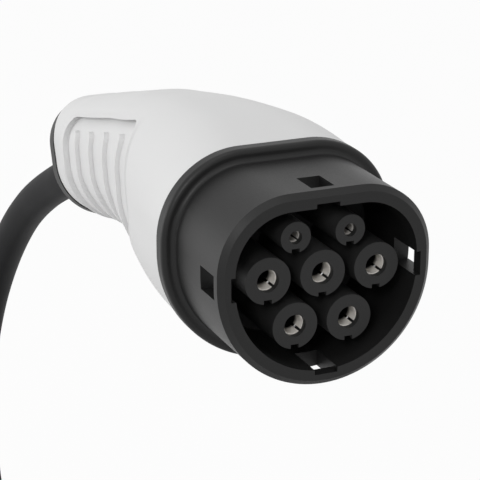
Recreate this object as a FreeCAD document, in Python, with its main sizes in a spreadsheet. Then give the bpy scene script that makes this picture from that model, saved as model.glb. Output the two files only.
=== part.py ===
"""Charging cable for an electric car: a seven-contact vehicle connector on its cable, with the matching plug.

The frame has its origin in the mouth of the protective-earth contact, +X out of the mating face, +Z up.
Lengths are millimetres. Each end is a black nose in a white moulded handle that is closed by a cap.
The cable hangs from the connector down to a surface, lies there in a tied coil and ends in the plug.
"""
import FreeCAD, Part
import Sketcher
import math
import os

Vector = FreeCAD.Vector
Rotation = FreeCAD.Rotation

doc = FreeCAD.newDocument("ev_charging_cable")
sheet = doc.addObject("Spreadsheet::Sheet", "Sizes")

# Driving dimensions: alias, value, meaning
SIZES = [
    ("ContactPitch", 17.0, "centre to centre of the three contacts of the middle row"),
    ("LowerRowDrop", 14.75, "lower row below the middle row"),
    ("UpperRowRise", 11.84, "signal row above the middle row"),
    ("PowerPin", 6.0, "diameter of a power pin"),
    ("SignalPin", 3.0, "diameter of a signal pin"),
    ("PinClearance", 0.05, "radial clearance of a pin in its contact"),
    ("PowerWall", 1.2, "wall of a power contact"),
    ("SignalWall", 0.8, "wall of a signal contact"),
    ("ContactDepth", 24.0, "depth of a contact's bore"),
    ("PowerSlot", 0.8, "width of the slots between a power contact's fingers"),
    ("SignalSlot", 0.5, "width of the slots between a signal contact's fingers"),
    ("SlotTurn", -135.0, "turn of a contact about its axis, in degrees"),
    ("SlotLength", 15.0, "length of the slots"),
    ("CollarLength", 2.5, "thickness of a contact's collar"),
    ("CollarReach", 1.0, "collar beyond the contact's outside"),
    ("CrimpLength", 12.0, "crimp barrel behind the collar"),
    ("SpringWire", 0.7, "section of the ring spring round the fingers"),
    ("SpringSetback", 4.0, "ring spring behind the contact's mouth"),
    ("TowerWidth", 14.0, "diameter of a power contact's tower"),
    ("SignalTowerWidth", 9.3, "diameter of a signal contact's tower"),
    ("TowerLip", 2.0, "front wall of a tower, ahead of the contact's mouth"),
    ("PowerLip", 0.9, "how far the lip covers a power contact's mouth"),
    ("SignalLip", 0.4, "how far the lip covers a signal contact's mouth"),
    ("KeyWidth", 2.5, "width of the key slot along each tower"),
    ("KeyDepth", 1.3, "depth of the key slot"),
    ("TowerHeight", 30.0, "tower height above the floor"),
    ("FloorThickness", 6.0, "floor that carries the towers"),
    ("ContactClearance", 0.1, "radial clearance of a contact in its tower"),
    ("NoseHalfWidth", 33.2, "half width of the nose and radius of its lower half"),
    ("NoseTop", 25.6, "flat top of the nose above the middle row"),
    ("NoseCorner", 22.0, "radius of the nose's upper corners"),
    ("RimWidth", 4.9, "wall of the nose"),
    ("RimAhead", 5.3, "rim ahead of the contact mouths"),
    ("NoseLength", 38.3, "rim to the rear face of the flange"),
    ("RimChamfer", 1.7, "chamfer round the rim"),
    ("FlangeReach", 4.0, "flange beyond the nose"),
    ("FlangeLength", 4.6, "thickness of the flange"),
    ("FlangeFillet", 1.6, "fillet between nose and flange"),
    ("SpigotLength", 9.0, "spigot that enters the handle"),
    ("SpigotInset", 2.0, "spigot inside the nose's outline"),
    ("SeatInset", 3.9, "bore of the spigot inside the nose's outline"),
    ("InsertFlange", 2.0, "insert's flange behind its seat in the nose"),
    ("FitClearance", 0.1, "clearance of the insert in the nose"),
    ("WindowWidth", 7.2, "width of the locking windows"),
    ("WindowLength", 10.0, "length of the locking windows"),
    ("WindowSetback", 4.0, "window behind the rim"),
    ("GrooveDepth", 1.3, "lead-in groove from the rim to each window"),
    ("SealWidth", 2.4, "width of the nose seal"),
    ("SealDepth", 1.0, "depth of the seal's groove in the spigot"),
    ("SealProud", 0.5, "seal outside the spigot"),
    ("SealSetback", 3.0, "seal behind the flange"),
    ("RetainerThickness", 3.0, "plate that holds the contacts in"),
    ("ScrewSize", 3.0, "thread diameter of the small screws"),
    ("ScrewHead", 5.4, "head diameter of the small screws"),
    ("ScrewHeadHeight", 2.0, "head height of the small screws"),
    ("ScrewBite", 4.5, "thread length in the insert"),
    ("ScrewSocket", 2.6, "size across the corners of a screw's hexagonal socket"),
    ("ScrewSocketDepth", 1.2, "depth of a screw's socket"),
    ("RetainerScrewRise", 11.5, "upper retainer screw above the middle row"),
    ("RetainerScrewSide", 19.5, "lower retainer screws from the middle"),
    ("RetainerScrewDrop", 12.5, "lower retainer screws below the middle row"),
    ("PowerWire", 4.2, "diameter of an insulated power conductor"),
    ("SignalWire", 1.8, "diameter of the insulated pilot conductor"),
    ("WireStraight", 18.0, "straight conductor behind each crimp barrel"),
    ("WireGather", 30.0, "straight conductor ahead of the cable's jacket"),
    ("WireLay", 4.4, "radius of the conductors' ring in the cable"),
    ("PilotLay", 5.2, "pilot conductor above the cable's axis"),
    ("ResistorLength", 6.5, "body of the coding resistor"),
    ("ResistorWidth", 2.4, "diameter of the coding resistor"),
    ("ResistorLead", 0.6, "lead diameter of the coding resistor"),
    ("HandleWall", 4.0, "wall of the handle"),
    ("HandleReach", 3.2, "handle's side beyond the nose's side"),
    ("CornerMargin", 2.0, "least straight run between the upper corners of a handle section"),
    ("GripDepth", 2.0, "grip panel below the handle's surface"),
    ("RibSink", 0.5, "rib tops below the handle's surface"),
    ("RibPitch", 18.0, "spacing of the grip's ribs"),
    ("RibWidth", 7.4, "width of a rib"),
    ("RibStart", 73.0, "first rib's top behind the flange"),
    ("RibTilt", 17.0, "lean of the ribs, in degrees"),
    ("RibTopGap", 4.5, "rib's top below the panel's upper edge"),
    ("PanelCorner", 9.0, "radius of the panel's upper corners"),
    ("PanelRear", 139.0, "panel's upper rear corner behind the flange"),
    ("PanelRearZ", 2.5, "panel's upper rear corner along Z"),
    ("PanelFront", 59.0, "panel's upper front corner behind the flange"),
    ("PanelFrontZ", 22.0, "panel's upper front corner along Z"),
    ("PanelBulge", 41.0, "panel's foremost corner behind the flange"),
    ("PanelBulgeZ", -4.0, "panel's foremost corner along Z"),
    ("PanelFoot", 53.0, "panel's lower front corner behind the flange"),
    ("PanelHeel", 125.0, "panel's lower rear corner behind the flange"),
    ("PanelFootZ", -50.0, "panel's lower edge, below the handle"),
    ("CableDrop", 2.4, "cable below the middle of the rear end's lower curve"),
    ("CapLength", 5.6, "end cap behind the handle"),
    ("CapInset", 0.7, "end cap inside the handle's outline"),
    ("BossWidth", 24.0, "diameter of the cable boss at its root"),
    ("BossMouth", 19.5, "diameter of the cable boss at its mouth"),
    ("BossLength", 9.0, "cable boss behind the cap"),
    ("CapRound", 1.6, "rounded rear edge of the end cap"),
    ("CradleLength", 18.0, "cradle under the cable inside the handle"),
    ("CradleClearance", 0.5, "cradle inside the handle's hollow"),
    ("JacketAhead", 2.0, "cable's jacket ahead of the cradle"),
    ("CableWidth", 15.0, "diameter of the cable"),
    ("CableClearance", 0.1, "radial clearance round the cable"),
    ("SaddleWall", 3.0, "clamp saddle over the cable"),
    ("SaddleLength", 10.0, "clamp saddle along the cable"),
    ("SaddleEar", 3.5, "thickness of the saddle's ears"),
    ("ClampScrewSide", 12.4, "clamp screws from the cable's axis"),
    ("ClampScrewBite", 6.0, "thread length of a clamp screw in the cradle"),
    ("SaddleReach", 15.6, "end of the saddle's ears from the cable's axis"),
    ("ClampMiddle", 9.0, "middle of the clamp ahead of the handle's end"),
    ("ClampGap", 0.6, "gap between saddle and cradle"),
    ("CoilPitch", 15.2, "spacing of the turns in the coil"),
    ("CoilInnerTurn", 66.0, "radius of the innermost turn"),
    ("CoilTangent", 60.0, "straight cable on either side of the coil"),
    ("CoilRelief", 0.3, "ring of turns inside the surface of its outermost cable"),
    ("TieThickness", 1.5, "strap round the coil"),
    ("TieAngle", 12.0, "share of the ring under a strap, in degrees"),
    ("PinLength", 22.0, "plug pins ahead of their floor"),
    ("PinFootRise", 0.5, "foot of a pin ahead of the floor"),
    ("PinFootReach", 0.4, "foot's edge beyond the pin's shank"),
    ("PinTip", 3.0, "insulating tip of a pin"),
    ("TipRound", 1.2, "rounding of a pin's tip"),
    ("PlugX", 104.0, "plug's reference point along X"),
    ("PlugLift", 0.6, "plug's nose above the surface that its end cap rests on"),
]


# Handle sections from the nose to the rear end: distance behind the nose's flange, Z of the lower
# curve's middle, half width, top above that middle, radius of the upper corners, lean in degrees
STATIONS = [
    (0.0, 0.0, "NoseHalfWidth + HandleReach", 29.2, 25.2, 0.0),
    (21.7, -2.0, "Station1HalfWidth - 1.8", 33.4, 27.0, 0.0),
    (45.7, -3.5, "Station1HalfWidth - 6.0", 32.9, 25.0, 0.0),
    (71.7, -2.4, 26.3, 28.3, 23.0, 0.0),
    (101.7, -6.0, 23.6, 24.6, 20.0, 5.0),
    (126.7, -11.6, 22.0, 23.2, 18.0, 12.0),
    (149.2, -17.2, 21.0, 24.2, 17.0, 19.0),
]
STATION_FIELDS = ["X", "Z", "HalfWidth", "Top", "Corner", "Tilt"]
END = f"Sizes.Station{len(STATIONS)}"

# Free points of the cable as (X, Y, Z): from the connector's boss to the coil, and from the coil to the plug
LEAD_ROUTE = [
    (-252.0, 0.0, -47.5),
    (-296.0, 0.0, -73.0),
    (-336.0, 0.0, -109.0),
    (-368.0, 0.0, -151.0),
    (-386.5, 0.0, -194.0),
    (-382.0, 0.0, -238.5),
    (-355.0, 0.0, -276.5),
    (-312.4, 0.0, -298.8),
    (-258.0, 0.0, -298.8),
]
LEAD_BEND = 25.0
COIL_X, COIL_Y, COIL_Z = LEAD_ROUTE[-1]
COIL_COLUMNS = 4
COIL_LAYERS = 2


def fill_sheet():
    """Write every driving dimension in the sheet with its alias and meaning."""
    rows = list(SIZES)
    for index, station in enumerate(STATIONS, 1):
        for field, value in zip(STATION_FIELDS, station):
            if field == "X":
                value = f"RimAhead - NoseLength - {value}"
            elif field == "Corner":
                value = f"min({value}; Station{index}HalfWidth - CornerMargin)"
            rows.append((f"Station{index}{field}", value, f"handle section {index}, {field}"))
    for row, (alias, value, meaning) in enumerate(rows, 1):
        sheet.set(f"A{row}", meaning)
        sheet.set(f"B{row}", f"={value}")
        sheet.setAlias(f"B{row}", alias)
    doc.recompute()


def size(expression):
    """The present value of an expression of the sheet's aliases."""
    result = sheet.evalExpression(expression)
    return float(getattr(result, "Value", result))


def new_body(label):
    body = doc.addObject("PartDesign::Body", label)
    body.Label = label
    return body


def sketch_on(body, name, role="YZ_Plane", ahead="0"):
    """A sketch on one of the body's origin planes, moved along that plane's normal."""
    sketch = body.newObject("Sketcher::SketchObject", name)
    plane = next(feature for feature in body.Origin.OriginFeatures if feature.Role == role)
    sketch.AttachmentSupport = (plane, [""])
    sketch.MapMode = "FlatFace"
    sketch.setExpression("AttachmentOffset.Base.z", ahead)
    return sketch


def drive(sketch, constraint, name, expression):
    """Add a constraint whose value follows the sheet."""
    index = sketch.addConstraint(constraint)
    sketch.renameConstraint(index, name)
    sketch.setExpression(f".Constraints.{name}", expression)


def pad(body, sketch, length, backwards=False):
    feature = body.newObject("PartDesign::Pad", sketch.Name + "Pad")
    feature.Profile = sketch
    feature.setExpression("Length", length)
    feature.Reversed = backwards
    return feature


def pocket(body, sketch, length=None, backwards=False):
    """Cut against the sketch's normal, or both ways through everything where no length is given."""
    feature = body.newObject("PartDesign::Pocket", sketch.Name + "Pocket")
    feature.Profile = sketch
    if length is None:
        feature.Type = "ThroughAll"
        feature.Midplane = True
    else:
        feature.setExpression("Length", length)
        feature.Reversed = backwards
    return feature


def draw_circles(sketch, centres, radius):
    """Circles of one radius round centres that are given as pairs of expressions."""
    for index, (across, up) in enumerate(centres):
        x, y, r = size(across), size(up), size(radius)
        circle = sketch.addGeometry(Part.Circle(Vector(x, y, 0), Vector(0, 0, 1), r))
        drive(sketch, Sketcher.Constraint("DistanceX", -1, 1, circle, 3, x), f"Across{index}", across)
        drive(sketch, Sketcher.Constraint("DistanceY", -1, 1, circle, 3, y), f"Up{index}", up)
        drive(sketch, Sketcher.Constraint("Radius", circle, r), f"Radius{index}", radius)


def draw_polygon(sketch, corners, tag=""):
    """A closed outline of straight edges through corners given as pairs of expressions."""
    points = [Vector(size(across), size(up), 0) for across, up in corners]
    edges = []
    for start, end in zip(points, points[1:] + points[:1]):
        edges.append(sketch.addGeometry(Part.LineSegment(start, end)))
    for edge, following in zip(edges, edges[1:] + edges[:1]):
        sketch.addConstraint(Sketcher.Constraint("Coincident", edge, 2, following, 1))
    for index, (edge, point, (across, up)) in enumerate(zip(edges, points, corners)):
        reach = Sketcher.Constraint("DistanceX", -1, 1, edge, 1, point.x)
        drive(sketch, reach, f"Across{tag}{index}", across)
        rise = Sketcher.Constraint("DistanceY", -1, 1, edge, 1, point.y)
        drive(sketch, rise, f"Up{tag}{index}", up)


def draw_rectangle(sketch, left, right, low, high, tag=""):
    draw_polygon(sketch, [(left, low), (right, low), (right, high), (left, high)], tag)


def draw_arch(sketch, half_width, top, corner, tag=""):
    """Half circle below the sketch's origin, upright sides, rounded upper corners and a flat top."""
    w, t, r = size(half_width), size(top), size(corner)
    normal = Vector(0, 0, 1)
    bottom = Part.ArcOfCircle(Part.Circle(Vector(0, 0, 0), normal, w), math.pi, 2 * math.pi)
    right = Part.ArcOfCircle(Part.Circle(Vector(w - r, t - r, 0), normal, r), 0, math.pi / 2)
    left = Part.ArcOfCircle(Part.Circle(Vector(r - w, t - r, 0), normal, r), math.pi / 2, math.pi)
    sides = [
        bottom,
        Part.LineSegment(Vector(w, 0, 0), Vector(w, t - r, 0)),
        right,
        Part.LineSegment(Vector(w - r, t, 0), Vector(r - w, t, 0)),
        left,
        Part.LineSegment(Vector(-w, t - r, 0), Vector(-w, 0, 0)),
    ]
    edges = [sketch.addGeometry(side) for side in sides]
    for edge, following in zip(edges, edges[1:] + edges[:1]):
        sketch.addConstraint(Sketcher.Constraint("Tangent", edge, 2, following, 1))
    sketch.addConstraint(Sketcher.Constraint("Coincident", edges[0], 3, -1, 1))
    sketch.addConstraint(Sketcher.Constraint("Vertical", edges[1]))
    sketch.addConstraint(Sketcher.Constraint("Vertical", edges[5]))
    sketch.addConstraint(Sketcher.Constraint("Equal", edges[2], edges[4]))
    drive(sketch, Sketcher.Constraint("Radius", edges[0], w), f"HalfWidth{tag}", half_width)
    drive(sketch, Sketcher.Constraint("Radius", edges[2], r), f"Corner{tag}", corner)
    drive(sketch, Sketcher.Constraint("DistanceY", -1, 1, edges[3], 1, t), f"Top{tag}", top)


def draw_nose_outline(sketch, inset, tag=""):
    """The nose's outline, moved inwards by an inset."""
    draw_arch(
        sketch,
        f"Sizes.NoseHalfWidth - ({inset})",
        f"Sizes.NoseTop - ({inset})",
        f"Sizes.NoseCorner - ({inset})",
        tag,
    )


def round_edges(body, kind, wanted, amount):
    """Fillet or chamfer the edges of the body that a test on (edge) picks."""
    doc.recompute()
    base = body.Tip
    names = [f"Edge{index}" for index, edge in enumerate(base.Shape.Edges, 1) if wanted(edge)]
    feature = body.newObject(f"PartDesign::{kind}", f"{body.Name}{kind}")
    feature.Base = (base, names)
    feature.setExpression("Radius" if kind == "Fillet" else "Size", amount)
    doc.recompute()


def all_at(edge, x, tolerance=0.01):
    """Whether an edge lies in the plane X = x."""
    box = edge.BoundBox
    return abs(box.XMin - x) < tolerance and abs(box.XMax - x) < tolerance


def tube_path(points):
    """Straight runs joined by tangent arcs, each as large as its shorter run allows."""
    edges = []
    start = points[0]
    for before, corner, after in zip(points, points[1:], points[2:]):
        into = corner - before
        out = after - corner
        half_turn = into.getAngle(out) / 2
        reach = 0.45 * min(into.Length, out.Length)
        radius = reach / math.tan(half_turn)
        tangent_in = corner - into.normalize() * reach
        tangent_out = corner + out.normalize() * reach
        bisector = (out - into).normalize()
        centre = corner + bisector * (radius / math.cos(half_turn))
        middle = centre - bisector * radius
        edges.append(Part.LineSegment(start, tangent_in).toShape())
        edges.append(Part.Arc(tangent_in, middle, tangent_out).toShape())
        start = tangent_out
    edges.append(Part.LineSegment(start, points[-1]).toShape())
    return Part.Wire(edges)


def tube_shape(points, diameter, label):
    """Solid round tube along a route, checked against its section times its length."""
    path = tube_path(points)
    direction = points[1] - points[0]
    circle = Part.Wire(Part.makeCircle(diameter / 2, points[0], direction))
    solid = path.makePipeShell([circle], True, False)
    expected = math.pi * diameter ** 2 / 4 * path.Length
    if abs(solid.Volume / expected - 1) > 0.01:
        raise RuntimeError(f"{label}: volume {solid.Volume:.0f}, expected {expected:.0f}")
    print(f"{label}: {path.Length:.0f} mm long")
    return solid


def new_shape(label, shape, placement=None):
    """A document object that holds a worked-out shape."""
    feature = doc.addObject("Part::Feature", label)
    feature.Label = label
    feature.Shape = shape
    feature.Placement = placement or FreeCAD.Placement()
    return feature


def cut(label, base, tool):
    feature = doc.addObject("Part::Cut", label)
    feature.Base = base
    feature.Tool = tool
    feature.Label = label
    return feature


def group(label, members):
    """Several equal solids in one object."""
    feature = doc.addObject("Part::Compound", label)
    feature.Links = members
    feature.Label = label
    return feature


# Places of the contacts in the face, seen from the front: name, across, up, whether it carries power
CONTACTS = [
    ("pe", "0", "0", True),
    ("l1", "-Sizes.ContactPitch", "0", True),
    ("n", "Sizes.ContactPitch", "0", True),
    ("l2", "-Sizes.ContactPitch / 2", "-Sizes.LowerRowDrop", True),
    ("l3", "Sizes.ContactPitch / 2", "-Sizes.LowerRowDrop", True),
    ("cp", "-Sizes.ContactPitch / 2", "Sizes.UpperRowRise", False),
    ("pp", "Sizes.ContactPitch / 2", "Sizes.UpperRowRise", False),
]
RETAINER_SCREWS = [
    ("0", "Sizes.RetainerScrewRise"),
    ("-Sizes.RetainerScrewSide", "-Sizes.RetainerScrewDrop"),
    ("Sizes.RetainerScrewSide", "-Sizes.RetainerScrewDrop"),
]
FLANGE_REAR = "Sizes.RimAhead - Sizes.NoseLength"
FLOOR_FRONT = "Sizes.TowerLip - Sizes.TowerHeight"
FLOOR_REAR = f"({FLOOR_FRONT} - Sizes.FloorThickness)"
RETAINER_REAR = f"({FLOOR_REAR} - Sizes.RetainerThickness)"
SEAT_FRONT = f"({FLOOR_REAR} + Sizes.InsertFlange)"
SEAL_FRONT = f"({FLANGE_REAR} - Sizes.SealSetback)"
CRIMP_FLOOR = f"({FLOOR_REAR} - Sizes.CollarLength)"


def places(power):
    return [(across, up) for name, across, up, carries in CONTACTS if carries == power]


def bore_radius(power):
    return f"Sizes.{'Power' if power else 'Signal'}Pin / 2 + Sizes.PinClearance"


def sleeve_radius(power):
    return f"{bore_radius(power)} + Sizes.{'Power' if power else 'Signal'}Wall"


def collar_radius(power):
    return f"{sleeve_radius(power)} + Sizes.CollarReach"


def make_nose(label):
    """Black moulded nose: skirt with four locking windows, flange, and spigot into the handle."""
    body = new_body(label)
    skirt = sketch_on(body, f"{label}Skirt", ahead="Sizes.RimAhead")
    draw_nose_outline(skirt, "0")
    pad(body, skirt, "Sizes.NoseLength", backwards=True)
    flange = sketch_on(body, f"{label}Flange", ahead=FLANGE_REAR)
    draw_nose_outline(flange, "-Sizes.FlangeReach")
    pad(body, flange, "Sizes.FlangeLength")
    spigot = sketch_on(body, f"{label}Spigot", ahead=FLANGE_REAR)
    draw_nose_outline(spigot, "Sizes.SpigotInset")
    pad(body, spigot, "Sizes.SpigotLength", backwards=True)
    doc.recompute()
    rim = size("Sizes.RimAhead")
    round_edges(body, "Chamfer", lambda edge: all_at(edge, rim), "Sizes.RimChamfer")
    root = size(f"{FLANGE_REAR} + Sizes.FlangeLength")
    widest = size("Sizes.NoseHalfWidth + Sizes.FlangeReach / 2")
    widest_top = size("Sizes.NoseTop + Sizes.FlangeReach / 2")

    def at_root(edge):
        return all_at(edge, root) and edge.BoundBox.YMax < widest and edge.BoundBox.ZMax < widest_top

    round_edges(body, "Fillet", at_root, "Sizes.FlangeFillet")
    bore = sketch_on(body, f"{label}Bore", ahead="Sizes.RimAhead")
    draw_nose_outline(bore, "Sizes.RimWidth")
    pocket(body, bore, "Sizes.NoseLength + Sizes.SpigotLength")
    seat = sketch_on(body, f"{label}Seat", ahead=f"{FLANGE_REAR} - Sizes.SpigotLength")
    draw_nose_outline(seat, "Sizes.SeatInset")
    pocket(body, seat, f"{SEAT_FRONT} - ({FLANGE_REAR} - Sizes.SpigotLength)", backwards=True)
    window_rear = "Sizes.RimAhead - Sizes.WindowSetback - Sizes.WindowLength"
    window_front = "Sizes.RimAhead - Sizes.WindowSetback"
    for side, role in (("Side", "XZ_Plane"), ("Upright", "XY_Plane")):
        window = sketch_on(body, f"{label}{side}Window", role)
        draw_rectangle(window, window_rear, window_front, "-Sizes.WindowWidth / 2", "Sizes.WindowWidth / 2")
        pocket(body, window)
    upright = sketch_on(body, f"{label}UprightGroove", ahead="Sizes.RimAhead")
    lowest = "Sizes.RimWidth - Sizes.NoseHalfWidth - Sizes.GrooveDepth"
    highest = "Sizes.NoseTop - Sizes.RimWidth + Sizes.GrooveDepth"
    draw_rectangle(upright, "-Sizes.WindowWidth / 2", "Sizes.WindowWidth / 2", lowest, highest)
    pocket(body, upright, "Sizes.WindowSetback + Sizes.WindowLength")
    across = sketch_on(body, f"{label}SideGroove", ahead="Sizes.RimAhead")
    draw_rectangle(across, lowest, f"-({lowest})", "-Sizes.WindowWidth / 2", "Sizes.WindowWidth / 2")
    pocket(body, across, "Sizes.WindowSetback + Sizes.WindowLength")
    groove = sketch_on(body, f"{label}SealGroove", ahead=SEAL_FRONT)
    draw_nose_outline(groove, "-Sizes.FlangeReach", "Outer")
    draw_nose_outline(groove, "Sizes.SpigotInset + Sizes.SealDepth", "Inner")
    pocket(body, groove, "Sizes.SealWidth")
    return body


def make_seal(label):
    """Rubber ring in the spigot's groove."""
    body = new_body(label)
    ring = sketch_on(body, f"{label}Ring", ahead=SEAL_FRONT)
    draw_nose_outline(ring, "Sizes.SpigotInset - Sizes.SealProud", "Outer")
    draw_nose_outline(ring, "Sizes.SpigotInset + Sizes.SealDepth", "Inner")
    pad(body, ring, "Sizes.SealWidth", backwards=True)
    return body


def drill(body, name, centres, radius, ahead, length, backwards=False):
    """Round holes of one size, cut from a plane across X."""
    sketch = sketch_on(body, name, ahead=ahead)
    draw_circles(sketch, centres, radius)
    pocket(body, sketch, length, backwards)


def make_insert_base(label):
    """Floor of an insert with the flange that seats in the nose."""
    body = new_body(label)
    floor = sketch_on(body, f"{label}Floor", ahead=FLOOR_FRONT)
    draw_nose_outline(floor, "Sizes.RimWidth + Sizes.FitClearance")
    pad(body, floor, "Sizes.FloorThickness", backwards=True)
    flange = sketch_on(body, f"{label}Flange", ahead=FLOOR_REAR)
    draw_nose_outline(flange, "Sizes.SeatInset + Sizes.FitClearance")
    pad(body, flange, "Sizes.InsertFlange")
    return body


def make_contact_carrier(label):
    """Black insert behind the towers, a floor that the contacts pass through."""
    body = make_insert_base(label)
    for power, kind in ((True, "Power"), (False, "Signal")):
        bore = f"{sleeve_radius(power)} + Sizes.ContactClearance"
        counterbore = f"{collar_radius(power)} + Sizes.ContactClearance"
        drill(body, f"{label}{kind}Bores", places(power), bore, FLOOR_REAR, "Sizes.FloorThickness", True)
        drill(body, f"{label}{kind}Seats", places(power), counterbore, FLOOR_REAR, "Sizes.CollarLength", True)
    drill(body, f"{label}Pilots", RETAINER_SCREWS, "Sizes.ScrewSize / 2", FLOOR_REAR, "Sizes.ScrewBite", True)
    return body


def make_tower(label, across, up, power):
    """Tower round one contact, with a key slot along its lower side and a lip at its mouth."""
    width = "Sizes.TowerWidth" if power else "Sizes.SignalTowerWidth"
    body = new_body(label)
    outline = sketch_on(body, f"{label}Outline", ahead=FLOOR_FRONT)
    draw_circles(outline, [(across, up)], f"{width} / 2")
    pad(body, outline, "Sizes.TowerHeight")
    key = sketch_on(body, f"{label}Key", ahead="Sizes.TowerLip")
    draw_rectangle(
        key,
        f"{across} - Sizes.KeyWidth / 2",
        f"{across} + Sizes.KeyWidth / 2",
        f"{up} - {width} / 2 - Sizes.KeyDepth / 2",
        f"{up} - {width} / 2 + Sizes.KeyDepth",
    )
    pocket(body, key, "Sizes.TowerHeight")
    bore = f"{sleeve_radius(power)} + Sizes.ContactClearance"
    lip = f"{sleeve_radius(power)} - Sizes.{'Power' if power else 'Signal'}Lip"
    drill(body, f"{label}Bore", [(across, up)], bore, FLOOR_FRONT, f"-({FLOOR_FRONT})", True)
    drill(body, f"{label}Lip", [(across, up)], lip, "Sizes.TowerLip", "Sizes.TowerLip")
    return body


def revolve(body, sketch, axis="H_Axis"):
    feature = body.newObject("PartDesign::Revolution", sketch.Name + "Turned")
    feature.Profile = sketch
    feature.ReferenceAxis = (sketch, [axis])
    feature.Angle = 360
    return feature


def stand_at(feature, across, up, ahead="0"):
    feature.setExpression("Placement.Base.x", ahead)
    feature.setExpression("Placement.Base.y", across)
    feature.setExpression("Placement.Base.z", up)


def make_contact(label, across, up, power):
    """Turned socket contact: slotted fingers, a collar that the retainer holds, and a crimp barrel."""
    bore, sleeve, collar = bore_radius(power), sleeve_radius(power), collar_radius(power)
    wire = f"Sizes.{'Power' if power else 'Signal'}Wire / 2 + Sizes.ContactClearance"
    crimp_end = f"{CRIMP_FLOOR} - Sizes.CrimpLength"
    groove_front = "-Sizes.SpringSetback"
    groove_rear = "-Sizes.SpringSetback - Sizes.SpringWire - Sizes.ContactClearance"
    groove = [
        (groove_front, sleeve),
        (groove_front, f"{sleeve} - Sizes.SpringWire"),
        (groove_rear, f"{sleeve} - Sizes.SpringWire"),
        (groove_rear, sleeve),
    ]
    outline = [
        ("-Sizes.ContactDepth", "0"),
        ("-Sizes.ContactDepth", bore),
        ("0", bore),
        ("0", sleeve),
        *(groove if power else []),
        (f"{FLOOR_REAR} + Sizes.CollarLength", sleeve),
        (f"{FLOOR_REAR} + Sizes.CollarLength", collar),
        (FLOOR_REAR, collar),
        (FLOOR_REAR, sleeve),
        (crimp_end, sleeve),
        (crimp_end, wire),
        (CRIMP_FLOOR, wire),
        (CRIMP_FLOOR, "0"),
    ]
    body = new_body(label)
    profile = sketch_on(body, f"{label}Profile", "XZ_Plane")
    draw_polygon(profile, outline)
    revolve(body, profile)
    slot = sketch_on(body, f"{label}Slot")
    half = f"Sizes.{'Power' if power else 'Signal'}Slot / 2"
    draw_rectangle(slot, f"-{half}", half, "0", collar)
    first = pocket(body, slot, "Sizes.SlotLength")
    slots = body.newObject("PartDesign::PolarPattern", f"{label}Slots")
    slots.Originals = [first]
    slots.Axis = (slot, ["N_Axis"])
    slots.Angle = 360
    slots.Occurrences = 3
    body.Tip = slots
    body.Placement.Rotation = Rotation(Vector(1, 0, 0), size("Sizes.SlotTurn"))
    stand_at(body, across, up)
    return body


def make_springs(label):
    """Ring springs round the fingers of the power contacts."""
    rings = []
    for index, (across, up) in enumerate(places(True)):
        ring = doc.addObject("Part::Torus", f"{label}Ring{index}")
        ring.setExpression("Radius1", f"{sleeve_radius(True)} - Sizes.SpringWire / 2")
        ring.setExpression("Radius2", "Sizes.SpringWire / 2")
        ring.Placement.Rotation = Rotation(Vector(0, 1, 0), 90)
        middle = "-Sizes.SpringSetback - (Sizes.SpringWire + Sizes.ContactClearance) / 2"
        stand_at(ring, across, up, middle)
        rings.append(ring)
    return group(label, rings)


def make_retainer(label, holes):
    """Plate behind the insert. holes lists centres and radius of each set of holes."""
    body = new_body(label)
    plate = sketch_on(body, f"{label}Plate", ahead=FLOOR_REAR)
    draw_nose_outline(plate, "Sizes.SeatInset + Sizes.FitClearance")
    pad(body, plate, "Sizes.RetainerThickness", backwards=True)
    for index, (centres, radius) in enumerate(holes):
        drill(body, f"{label}Holes{index}", centres, radius, FLOOR_REAR, "Sizes.RetainerThickness")
    return body


def make_screw(label, grip):
    """Cap screw along X: its head's underside in the plane X = 0, and the shank ahead of it."""
    body = new_body(label)
    head, shank = "Sizes.ScrewHead / 2", "Sizes.ScrewSize / 2"
    profile = sketch_on(body, f"{label}Profile", "XZ_Plane")
    draw_polygon(profile, [
        ("-Sizes.ScrewHeadHeight", "0"),
        (grip, "0"),
        (grip, f"{shank} / 2"),
        (f"{grip} - {shank} / 2", shank),
        ("0", shank),
        ("0", head),
        ("-Sizes.ScrewHeadHeight", head),
    ])
    revolve(body, profile)
    socket = sketch_on(body, f"{label}Socket", ahead="-Sizes.ScrewHeadHeight")
    corner = "Sizes.ScrewSocket / 2"
    turns = range(0, 360, 60)
    draw_polygon(socket, [(f"{corner} * cos({turn} deg)", f"{corner} * sin({turn} deg)") for turn in turns])
    pocket(body, socket, "Sizes.ScrewSocketDepth", backwards=True)
    return body


def make_handle_form(label, inset):
    """Smooth body through the handle's sections, each moved inwards by an inset."""
    body = new_body(label)
    sections = []
    for index in range(1, len(STATIONS) + 1):
        station = f"Sizes.Station{index}"
        section = sketch_on(body, f"{label}Section{index}", ahead=f"{station}X")
        section.AttachmentOffset = FreeCAD.Placement(Vector(), Rotation(Vector(1, 0, 0), -1))
        section.setExpression("AttachmentOffset.Base.y", f"{station}Z")
        section.setExpression("AttachmentOffset.Base.z", f"{station}X")
        section.setExpression("AttachmentOffset.Rotation.Angle", f"-{station}Tilt * 1 deg")
        fields = [f"{station}{field} - ({inset})" for field in ("HalfWidth", "Top", "Corner")]
        draw_arch(section, *fields)
        sections.append(section)
    loft = body.newObject("PartDesign::AdditiveLoft", f"{label}Loft")
    loft.Profile = sections[0]
    loft.Sections = sections[1:]
    return body


def make_side_tool(label, drawings):
    """Solids through the whole width of the handle from outlines in the plane of symmetry."""
    solids = []
    for index, drawing in enumerate(drawings):
        body = new_body(f"{label}{index}")
        sketch = sketch_on(body, f"{label}{index}Outline", "XZ_Plane", ahead="0")
        drawing(sketch)
        feature = pad(body, sketch, "4 * Sizes.Station1HalfWidth")
        feature.Midplane = True
        solids.append(body)
    return solids


def behind_flange(distance):
    return f"({FLANGE_REAR} - {distance})"


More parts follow.
